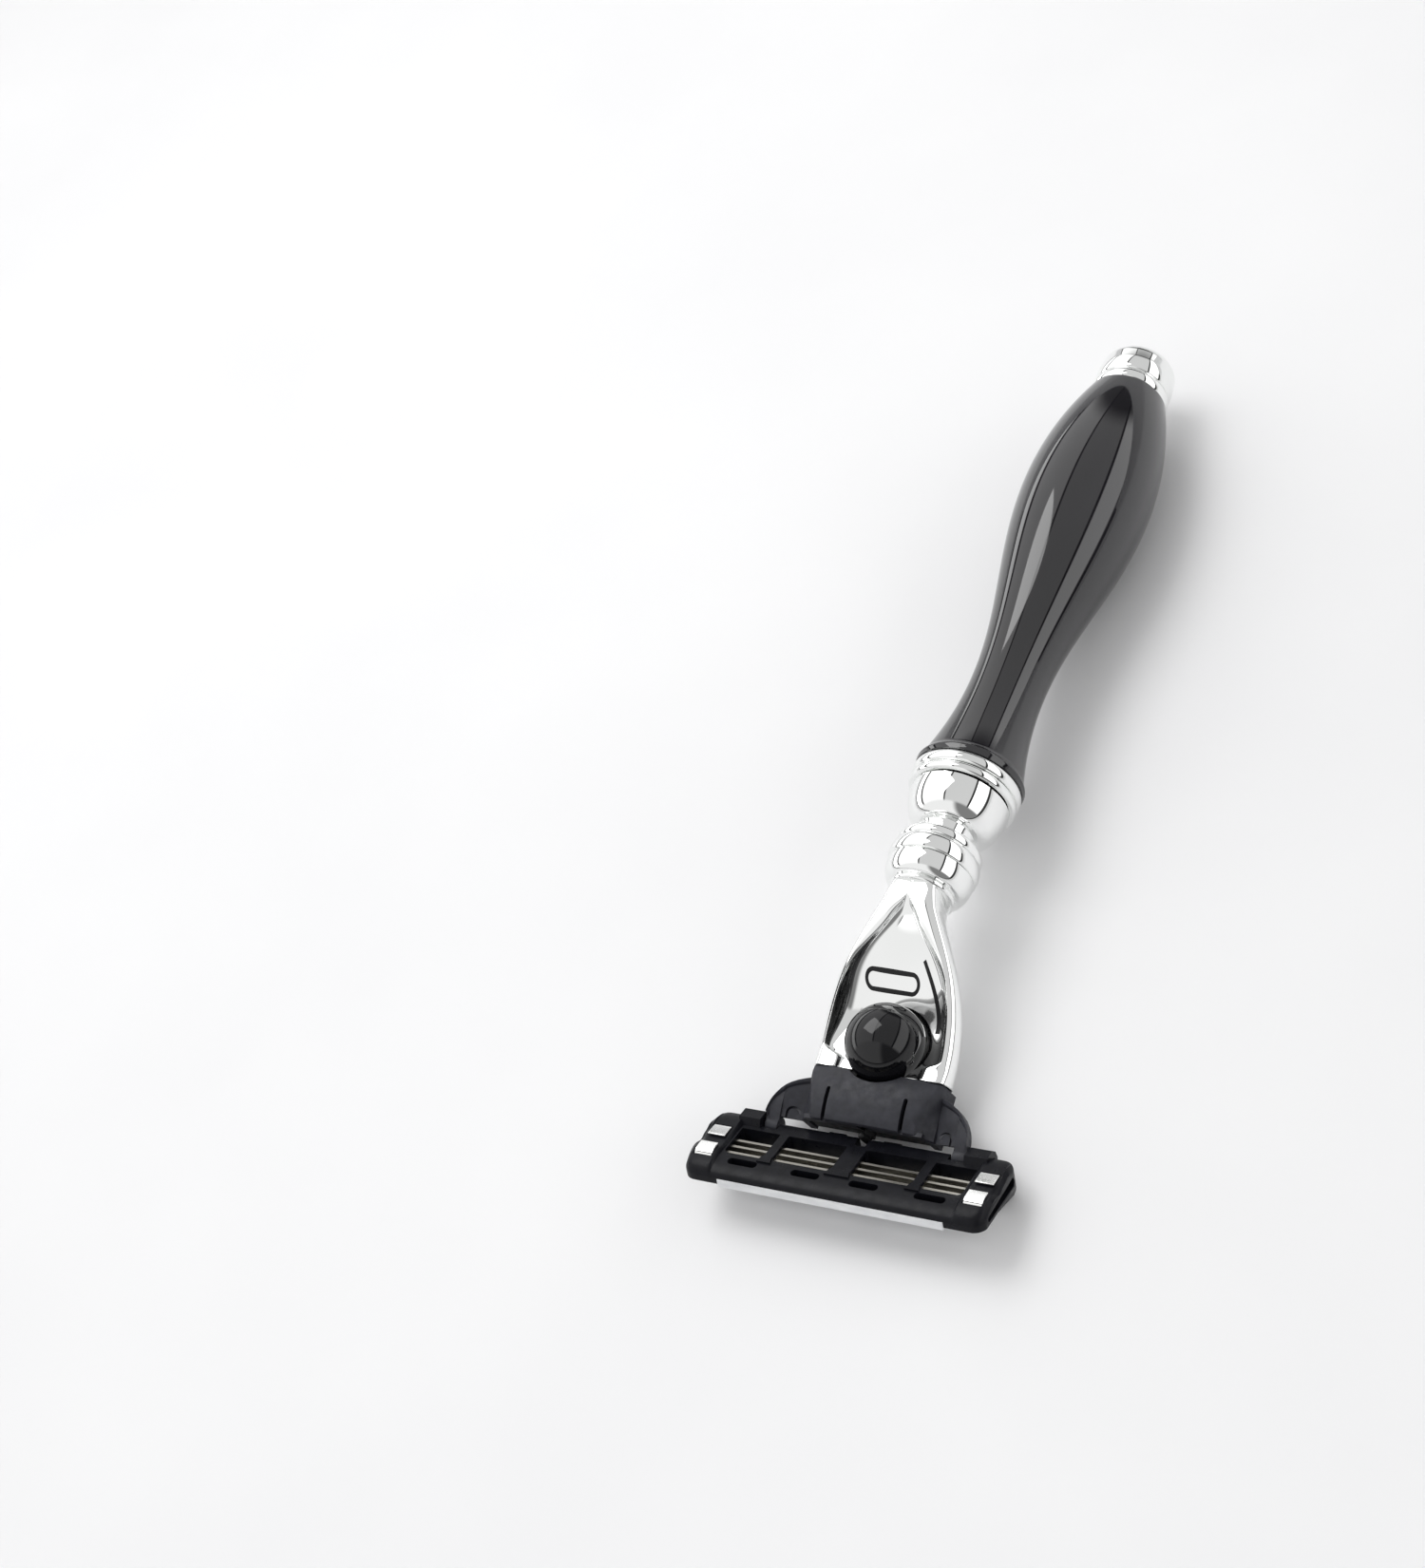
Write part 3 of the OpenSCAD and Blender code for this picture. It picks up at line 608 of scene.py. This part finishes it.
# ---- Housing of the cartridge, in the cartridge frame ----
CART_HALF, FRONT_Y, CAP_Y, BACK_Z, GUARD_Z, CAP_FACE_Z = 20.05, -0.1, -11.0, 0.75, -3.5, -1.3
PAD_X, PAD_Z, END_ROUND, LIP_X = 16.1, 1.2, 1.7, 19.25
BACK_ROUND_Y, BACK_ROUND_Z = -7.9, -0.5
BLADE_PITCH, FIRST_BLADE_Y, BLADE_TILT = 1.2, -3.28, math.radians(20)
RIB_X, RIB_HALF, RIB_HALF_MID = 9.9, 0.6, 1.3
WINDOW_BACK, WINDOW_FRONT, SLOT_END = -7.4, -2.3, 16.65
CLIP_X, CLIP_W, CLIP_FRONT, CLIP_REAR = 17.95, 2.4, -3.2, -8.8
BOSS_ROOM_R, PIN_HOLE_R = 1.6, 0.85
THROUGH = 10  # far enough to pass through the housing either way


def face_z(y):
    """Height of the shaving face, from the guard to the cap."""
    return mix(GUARD_Z, CAP_FACE_Z, (FRONT_Y - y) / (FRONT_Y - CAP_Y))


def back_z(x, y):
    """Height of the housing's back: flat between the ends, with pads under the clips and a wavy end lip."""
    raise_pad = smooth((abs(x) - PAD_X + 0.1) / 0.35)
    wave = 0.3 * math.exp(-((y + 1.9) / 1.1) ** 2) - 0.32 * math.exp(-((y + 5.7) / 1.0) ** 2)
    lip = smooth((abs(x) - LIP_X) / 0.3)
    return BACK_Z + raise_pad * (PAD_Z - BACK_Z + 0.6 * wave) + lip * (0.22 + 0.5 * wave)


def housing_section(x):
    """Outline of the housing at one station, drawn in and rounded down near its ends."""
    into = max(abs(x) - (CART_HALF - END_ROUND), 0) / END_ROUND
    shrink = END_ROUND * (1 - math.sqrt(max(1 - into ** 2, 0)))
    front_top = back_z(x, FRONT_Y)
    points = [(FRONT_Y - 0.4, face_z(FRONT_Y - 0.4)), (FRONT_Y, GUARD_Z + 0.5), (FRONT_Y, front_top - 0.35),
              (FRONT_Y - 0.1, front_top - 0.1), (FRONT_Y - 0.35, front_top)]
    points += [(y, back_z(x, y)) for y in (-1 - 0.6 * i for i in range(12))]
    for i in range(10):
        a = math.radians(10 * i)
        points.append((mix(BACK_ROUND_Y, CAP_Y, math.sin(a)),
                       mix(BACK_ROUND_Z, back_z(x, BACK_ROUND_Y), math.cos(a))))
    points += [(CAP_Y, CAP_FACE_Z)]
    middle = (FRONT_Y + CAP_Y) / 2
    scale = 1 - shrink / (middle - CAP_Y)
    lowest = mix(-4.6, -1.75, min(max((abs(x) - 18.85) / 1.0, 0), 1.25))
    squeezed = []
    for y, z in points:
        drop = 0.55 * smooth((into - 0.45) / 0.55) * smooth((z + 0.6) / 1.6)
        squeezed.append((x, middle + (y - middle) * scale, max(z - drop, lowest)))
    return squeezed


def blade_point(n, along, out):
    """A point near the edge of one blade, so far past the edge and so far across the blade."""
    y = FIRST_BLADE_Y - BLADE_PITCH * (n - 1)
    return (y + along * math.cos(BLADE_TILT) + out * math.sin(BLADE_TILT),
            face_z(y) + 0.1 - along * math.sin(BLADE_TILT) + out * math.cos(BLADE_TILT))


def rib_foot(x, half):
    """The wider foot of a rib, at the rear of its window."""
    outline = [(x - half - 0.35, -8.1), (x + half + 0.35, -8.1), (x + half, -6.9), (x - half, -6.9)]
    return prism(outline, 0.2, 0.98, "z")


def end_recess():
    """Outline of the slot in the end face: round at both ends and narrower to the rear."""
    front_end = (-2.2, -0.35, 0.62, range(-85, 86, 17))
    rear_end = (-9.0, -0.45, 0.36, range(95, 266, 19))
    outline = []
    for cy, cz, radius, angles in (front_end, rear_end):
        for a in map(math.radians, angles):
            outline.append((cy + radius * math.cos(a), cz + radius * math.sin(a)))
    return outline


def make_housing():
    stations = [0, 4, 8, 12, 15, 15.9, 16.05, 16.2, 16.4, 17, 18, 18.6, 19, 19.2, 19.35, 19.5, 19.65,
                19.8, 19.9, 19.98, CART_HALF]
    stations = [-x for x in stations[:0:-1]] + stations
    body = loft([housing_section(x) for x in stations])
    lobe = prism([(-2.0, 0.3), (-1.3, 1.75), (0.35, 1.75), (1.1, 1.15), (1.42, 0.2), (1.2, -0.95),
                  (0.2, -1.55), (-1.2, -1.55)], 13.75, 16.7)
    knuckle = prism(disc(-0.3, 0.2, 0.55), 2.6, 4.8)

    window_round = (0.15, 0.15, 0.75, 0.75)
    side_cuts = []
    for x0, x1 in ((RIB_HALF_MID, RIB_X - RIB_HALF), (RIB_X + RIB_HALF, PAD_X - 0.25)):
        window = rounded(x0, WINDOW_BACK, x1, WINDOW_FRONT, window_round)
        side_cuts.append(prism(window, -THROUGH, THROUGH, "z"))
    side_cuts.append(prism(disc(0, 0, BOSS_ROOM_R), 11.5, 13.7))
    side_cuts.append(prism(disc(0, 0, PIN_HOLE_R), 11.4, 17))
    for x0, x1 in ((2.0, 5.8), (10.5, 14.5)):
        side_cuts.append(prism(rounded(x0, -9.2, x1, -8.15, 0.5), -0.9, 3, "z"))
    side_cuts.append(prism(end_recess(), CART_HALF - 0.6, CART_HALF + 1))
    x0, x1 = CLIP_X - CLIP_W / 2 - 0.06, CLIP_X + CLIP_W / 2 + 0.06
    for y in (CLIP_FRONT, CLIP_REAR):
        side_cuts.append(block((x0, y - 0.2, -THROUGH), (x1, y + 0.2, THROUGH)))

    blade_room = block((-16.3, WINDOW_BACK, -THROUGH), (16.3, -3, 0.3))
    cuts = mirrored(side_cuts) + [blade_room]
    for n in (1, 2, 3):
        corners = ((0.1, -0.4), (0.1, 0.42), (-1.4, 0.42), (-1.4, -0.4))
        cuts.append(prism([blade_point(n, along, out) for along, out in corners], -SLOT_END, SLOT_END))
    plunger_notch = block((-0.75, -1.75, -0.6), (0.75, 2, THROUGH))
    strip_seat = prism([(-11.2, -0.52), (-10.47, -0.52), (-9.15, face_z(-9.2) + 0.53),
                        (-9.15, face_z(-9.2) - 0.4), (-11.2, -2.2)], -15.05, 15.05)
    guard_seat = prism([(-0.48, face_z(-0.5) - 0.2), (-2.72, face_z(-2.7) - 0.2),
                        (-2.72, face_z(-2.7) + 0.37), (-0.48, face_z(-0.5) + 0.37)], -16.02, 16.02)
    cuts += [plunger_notch, strip_seat, guard_seat]

    side_solids = [lobe, knuckle, rib_foot(RIB_X, RIB_HALF)]
    verts, faces = carve([body, rib_foot(0, RIB_HALF_MID)] + mirrored(side_solids), cuts)
    housing = piece("cartridge_housing", verts, faces, CARTRIDGE, HOUSING_PLASTIC, "cartridge", ["housing"])
    bevel(housing, 0.1, 30.0)


def make_clips():
    """A bright metal band on each side, with a flat front tab and a rear tab bent down over the edge."""
    thickness, under_face = 0.25, 0.13
    top = PAD_Z + 0.14
    path = [(-5.2, top), (-3.6, top), (-3.35, top - 0.05), (-3.22, top - 0.3),
            (CLIP_FRONT, face_z(CLIP_FRONT) - under_face), (CLIP_REAR, face_z(CLIP_REAR) - under_face),
            (-8.84, face_z(-6) + 1.5), (CLIP_REAR, 0.45), (-8.62, 0.95), (-8.2, top - 0.1),
            (-7.7, top), (-6.7, top)]
    outer, inner = [], []
    for i, (y, z) in enumerate(path):
        y0, z0 = path[max(i - 1, 0)]
        y1, z1 = path[min(i + 1, len(path) - 1)]
        run = math.hypot(y1 - y0, z1 - z0)
        ny, nz = (z1 - z0) / run * thickness / 2, (y0 - y1) / run * thickness / 2
        outer.append((y + ny, z + nz))
        inner.append((y - ny, z - nz))
    for name, side in (("clip_left", -1), ("clip_right", 1)):
        middle = side * CLIP_X
        verts, faces = prism(outer + inner[::-1], middle - CLIP_W / 2, middle + CLIP_W / 2)
        clip = piece(f"metal_{name}", verts, faces, CARTRIDGE, CLIP, "cartridge", [name])
        bevel(clip, 0.06)


# ---- Yoke, in the nose frame ----
YOKE_HALF, YOKE_FRONT, YOKE_BOTTOM, BUTTON_Y, BUTTON_GAP_R = 8.9, -6.9, -2.2, 3.93, 5.4
HOOD_BACK, HOOD_UNDER = -0.06, 2.35
PIVOT_IN_NOSE = (-8.028, 0.043)  # y and z of the cartridge's pivot
WING_A, WING_B, WING_POWER = 13.6, 7.5, 2.8  # half axes and power of the wing's outline
ARM_X, SEAM_GAP = 11.8, 0.03


def yoke_back(x):
    """Where the hood starts: scalloped round the button, straight beside it."""
    if abs(x) >= BUTTON_GAP_R:
        return HOOD_BACK
    return min(BUTTON_Y - math.sqrt(BUTTON_GAP_R ** 2 - x ** 2), HOOD_BACK)


def yoke_top(x, y):
    """The barrel between the slits, then a shoulder that falls to the side along a slanting ridge."""
    x = abs(x)
    barrel = 3.76 - 0.053 * (y + 3.6) ** 2 - 0.012 * x ** 2
    ridge = mix(8.35, 7.0, min(max((-1.0 - y) / 5.0, 0), 1))
    if x <= ridge:
        return barrel - 0.05 * max(x - 5.4, 0)
    side = mix(0.9, 0.8, min(-y / 7, 1))
    edge = barrel - 0.05 * (ridge - 5.4)
    across = (x - ridge) / (YOKE_HALF + 0.05 - ridge)
    return mix(edge, side, across ** mix(2.8, 1.0, min(-y / 3.5, 1)))


def hood():
    """The sleeve over the nose: a roof with a side wall left and right, open below."""
    xs = [0, 1, 2, 2.8, 3.3, 3.6, 4.2, 4.9, 5.6, 6.3, 7.0, 7.4, 7.8, 7.93, 7.97, 8.15, 8.35, 8.6, 8.8,
          YOKE_HALF]
    xs = [-x for x in xs[:0:-1]] + xs
    ys = [0, -0.35, -0.8, -1.4, -2.1, -2.9, -3.7, -4.5, -5.3, -6.0, -6.5, -6.75, YOKE_FRONT]
    rings = []
    for x in xs:
        back = yoke_back(x)
        under = HOOD_UNDER if abs(x) < 7.95 else YOKE_BOTTOM
        line = [min(y, back) for y in ys]
        round_front = [0.0] * (len(line) - 2) + [0.07, 0.3]
        top = [(x, y, yoke_top(x, y) - fall) for y, fall in zip(line, round_front)]
        rings.append(top + [(x, y, min(under, z - 0.5)) for _, y, z in top[::-1]])
    return loft(rings)


def wing_edge(x):
    """The wing's rear edge, a quarter of a superellipse."""
    return PIVOT_IN_NOSE[0] + WING_B * max(1 - (x / WING_A) ** WING_POWER, 0) ** (1 / WING_POWER)


def wing():
    """A fender plate from the hood's side round to the pivot arm, with a raised rim."""
    xs = [8.3, 8.9, 9.6, 10.4, 11.2, 11.79, 11.81, 12.3, 12.8, 13.1, 13.3, 13.45, 13.55]
    across = [0, 0.03, 0.09, 0.14, 0.3, 0.5, 0.7, 0.88, 1]
    rings = []
    for x in xs:
        outer = wing_edge(x)
        inner = YOKE_FRONT + SEAM_GAP if x < ARM_X else PIVOT_IN_NOSE[0] - 0.5
        top, bottom = [], []
        rim = mix(1.35, 1.95, smooth((x - 8.6) / 3.5))
        for t in across:
            y = mix(outer, inner, t)
            rounding = 0.12 if t == 0 else 0
            step = 0.42 * smooth((t - 0.06) / 0.1)
            slope = 0.55 * smooth((t - 0.3) / 0.7)
            height = rim - rounding - step - slope
            if y < YOKE_FRONT:
                height = min(height, 1.15)
            top.append((x, y, height))
            bottom.append((x, y, 0.3))
        rings.append(top + bottom[::-1])
    return loft(rings)


def hook_groove():
    """A groove in the wing's top that follows a small arched hook all round."""
    outer = rounded(9.35, -8.5, 11.25, -5.35, (0.9, 0.9, 0.1, 0.1))
    inner = rounded(9.65, -8.2, 10.95, -5.65, (0.62, 0.62, 0.1, 0.1))
    count = len(outer)
    verts = [(x, y, z) for z in (0.55, 6) for ring in (outer, inner) for x, y in ring]
    # The four rings of corners: low outer, low inner, high outer, high inner
    low, low_in, high, high_in = 0, count, 2 * count, 3 * count
    faces = []
    for k in range(count):
        n = (k + 1) % count
        faces += [(low + k, low + n, low_in + n, low_in + k), (high + k, high_in + k, high_in + n, high + n),
                  (low + k, high + k, high + n, low + n), (low_in + k, low_in + n, high_in + n, high_in + k)]
    return verts, faces


def make_yoke():
    boss = disc(*PIVOT_IN_NOSE, 1.2)
    pin = disc(*PIVOT_IN_NOSE, 0.8)
    front_wall = block((-7.96, YOKE_FRONT + 0.02, 1.3), (7.96, -6.35, 2.4))
    side_solids = [wing(), prism(boss, 11.82, 13.4), prism(pin, 13.0, 16.4)]
    slit = prism(rounded(4.95, -9, 5.48, -2.75, 0.26), 2.3, 10, "z")
    plunger_way = block((-0.7, YOKE_FRONT - 1, 1), (0.7, -6, 2.6))
    cuts = mirrored([slit, hook_groove()]) + [plunger_way]
    verts, faces = carve([hood(), front_wall] + mirrored(side_solids), cuts)
    yoke = piece("cartridge_yoke", verts, faces, NOSE, YOKE_PLASTIC, "yoke", ["yoke"],
                 smooth_angle=28.0)
    bevel(yoke, 0.09, 40.0)


# ---- Springs inside the nose ----
WIRE_R = 0.12
EJECTOR_SPRING = dict(radius=0.5, low=-2.8, high=2.83, height=0.1, turns=6)
PLUNGER_SPRING = dict(radius=0.55, low=-5.7, high=-3.4, height=-0.3, turns=4)


def coil(radius, low, high, height, turns):
    """Round wire along Y, with an end turn that lies flat at each end."""
    sides, per_turn = 10, 24
    steps = turns * per_turn
    rings = []
    for i in range(steps + 1):
        t = i / steps
        a = 2 * math.pi * turns * t
        y = mix(low + WIRE_R, high - WIRE_R, smooth((t - 0.5 / turns) / (1 - 1 / turns)))
        ring = []
        for k in range(sides):
            b = 2 * math.pi * k / sides
            out = radius + WIRE_R * math.cos(b)
            ring.append((out * math.cos(a), y + WIRE_R * math.sin(b), height + out * math.sin(a)))
        rings.append(ring)
    return loft(rings)


def make_spring(node, spring):
    """A coil held at one end by the handle."""
    verts, faces = coil(**spring)
    made = piece(f"coiled_{node}", verts, faces, NOSE, STEEL, "handle", [node])
    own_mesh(made)


def make_springs():
    make_spring("ejector_spring", EJECTOR_SPRING)
    make_spring("plunger_spring", PLUNGER_SPRING)


# ---- Carried-over pieces: bevelled edges and procedural finish ----
def finish_node(name, material, edge=0.0):
    obj = frame["nodes"][name]
    obj.data.materials.clear()
    obj.data.materials.append(material)
    shade(obj, SMOOTH_ANGLE)
    if edge:
        bevel(obj, edge)


def finish_nodes():
    finish_node("tie_rod", STEEL)
    finish_node("nose_carrier", INNER_PLASTIC, 0.12)
    finish_node("release_button", BUTTON)
    finish_node("ejector", INNER_PLASTIC, 0.1)
    finish_node("ejector_screw", STEEL)
    finish_node("plunger", INNER_PLASTIC)
    finish_node("guard_fins", RUBBER)
    finish_node("lubricating_strip", STRIP, 0.06)
    for n in (1, 2, 3):
        finish_node(f"blade_{n}", BLADE)
        finish_node(f"blade_support_{n}", SUPPORT)


# ---- Studio ----
def make_camera():
    """The camera, placed and turned in the handle's frame."""
    data = bpy.data.cameras.new("camera")
    data.lens, data.sensor_width = 55.636, 36.0
    camera = bpy.data.objects.new("camera", data)
    right = Vector((0.861, 0.376, -0.342)).normalized()
    forward = Vector((-0.501, 0.516, -0.695))
    forward = (forward - forward.dot(right) * right).normalized()
    up = right.cross(forward)
    turn = Matrix((right, up, -forward)).transposed().to_4x4()
    place = Matrix.Translation((127.3, -171.3, 226.7)) @ turn
    location, rotation, _ = (HANDLE @ place).decompose()
    camera.location = location
    camera.rotation_euler = rotation.to_euler()
    data.clip_start, data.clip_end = 0.01, 10.0
    bpy.context.scene.collection.objects.link(camera)
    bpy.context.scene.camera = camera


def make_floor():
    """A pale sweep: flat under the razor, and rising in a quarter round well behind it."""
    s = Shader("floor_pale", (0.81, 0.81, 0.82), roughness=0.6)
    s.feed("Base Color", s.ramp(s.noise(14, 3), (0.8, 0.8, 0.807), (0.825, 0.825, 0.83)))
    steps, front, reach, curve, half_width = 14, -1.2, 0.7, 0.2, 1.4
    verts, faces = [], []
    profile = [(front, 0.0), (reach, 0.0)]
    for i in range(1, steps + 1):
        a = math.radians(90 * i / steps)
        profile.append((reach + curve * math.sin(a), curve - curve * math.cos(a)))
    for y, z in profile:
        verts += [(-half_width, y, z), (half_width, y, z)]
    for i in range(len(profile) - 1):
        faces.append((2 * i, 2 * i + 1, 2 * i + 3, 2 * i + 2))
    mesh = bpy.data.meshes.new("floor")
    mesh.from_pydata(verts, [], faces)
    mesh.materials.append(s.material)
    floor = bpy.data.objects.new("floor", mesh)
    bpy.context.scene.collection.objects.link(floor)
    shade(floor, 40)


# Brightness of the studio tent round the handle's axis, as (degrees from straight up towards +X, value)
PANELS = [(-90, 0.04), (-86, 0.04), (-85, 2.6), (-73, 2.6), (-72, 0.03), (-68, 0.03), (-67, 1.15),
          (-14, 1.15), (-13, 0.03), (-10.5, 0.03), (-9.5, 0.66), (46, 0.66), (47, 0.02), (50.5, 0.02),
          (51.5, 1.7), (79, 1.7), (81, 0.05), (90, 0.05)]
# Below the tent a dark band, and below that the brightness at the horizon
SKIRT, HORIZON = 0.03, 0.66
# The tent's front: bright on the left, and dark on the right, where the camera stands
FRONT_LEFT, FRONT_RIGHT = 0.93, 0.22
BACK_LEVEL = 0.1
TINT = 1.02  # the panels' blue over their red and green


def make_world():
    """A white tent with grey and black panels along the handle, which metal and resin mirror."""
    world = bpy.data.worlds.new("studio")
    bpy.context.scene.world = world
    world.use_nodes = True
    nodes, links = world.node_tree.nodes, world.node_tree.links

    def math_node(operation, *inputs):
        node = nodes.new("ShaderNodeMath")
        node.operation = operation
        for socket, value in zip(node.inputs, inputs):
            if isinstance(value, (int, float)):
                socket.default_value = value
            else:
                links.new(value, socket)
        return node.outputs["Value"]

    def fade(value, low, high, start, end):
        node = nodes.new("ShaderNodeMapRange")
        node.interpolation_type = "SMOOTHSTEP"
        for name, number in (("From Min", low), ("From Max", high), ("To Min", start), ("To Max", end)):
            node.inputs[name].default_value = number
        links.new(value, node.inputs["Value"])
        return node.outputs["Result"]

    split = nodes.new("ShaderNodeSeparateXYZ")
    links.new(nodes.new("ShaderNodeTexCoord").outputs["Generated"], split.inputs["Vector"])
    x, y, z = (split.outputs[axis] for axis in "XYZ")
    around = math_node("MULTIPLY_ADD", math_node("ARCTAN2", x, z), 1 / math.pi, 0.5)
    ramp = nodes.new("ShaderNodeValToRGB")
    while len(ramp.color_ramp.elements) < len(PANELS):
        ramp.color_ramp.elements.new(1.0)
    for element, (angle, value) in zip(ramp.color_ramp.elements, PANELS):
        element.position = (angle + 90) / 180
        element.color = (value, value, value * TINT, 1)
    links.new(around, ramp.inputs["Fac"])
    front = fade(y, -0.5, -0.35, 1.0, 0.0)
    back = fade(y, 0.85, 0.93, 1.0, BACK_LEVEL)
    around_level = math_node("MULTIPLY", ramp.outputs["Color"], math_node("SUBTRACT", 1.0, front))
    front_level = math_node("MULTIPLY", front, fade(x, 0.1, 0.35, FRONT_LEFT, FRONT_RIGHT))
    tent = math_node("MULTIPLY", math_node("ADD", around_level, front_level), back)
    above = fade(z, 0.1, 0.115, 0.0, 1.0)
    low = fade(z, 0.055, 0.07, HORIZON, SKIRT)
    level = math_node("ADD", math_node("MULTIPLY", tent, above),
                      math_node("MULTIPLY", math_node("SUBTRACT", 1.0, above), low))
    links.new(level, nodes["Background"].inputs["Color"])


def make_key_light():
    """A square softbox above and to the left, turned to the middle of the razor."""
    data = bpy.data.lights.new("key", "AREA")
    data.size, data.energy = 0.35, 1.15
    light = bpy.data.objects.new("key", data)
    light.location = (-0.22, 0.12, 0.5)
    middle = Vector((0, -0.01, 0.01))
    light.rotation_euler = (middle - light.location).to_track_quat("-Z", "Y").to_euler()
    bpy.context.scene.collection.objects.link(light)


make_camera()
make_grip()
make_end_cap()
make_upper_ferrule()
make_lower_ferrule()
make_painted_reflections(make_head())
make_yoke()
make_housing()
make_clips()
make_springs()
finish_nodes()
make_floor()
make_world()
make_key_light()
bpy.context.scene.view_settings.view_transform = "Standard"
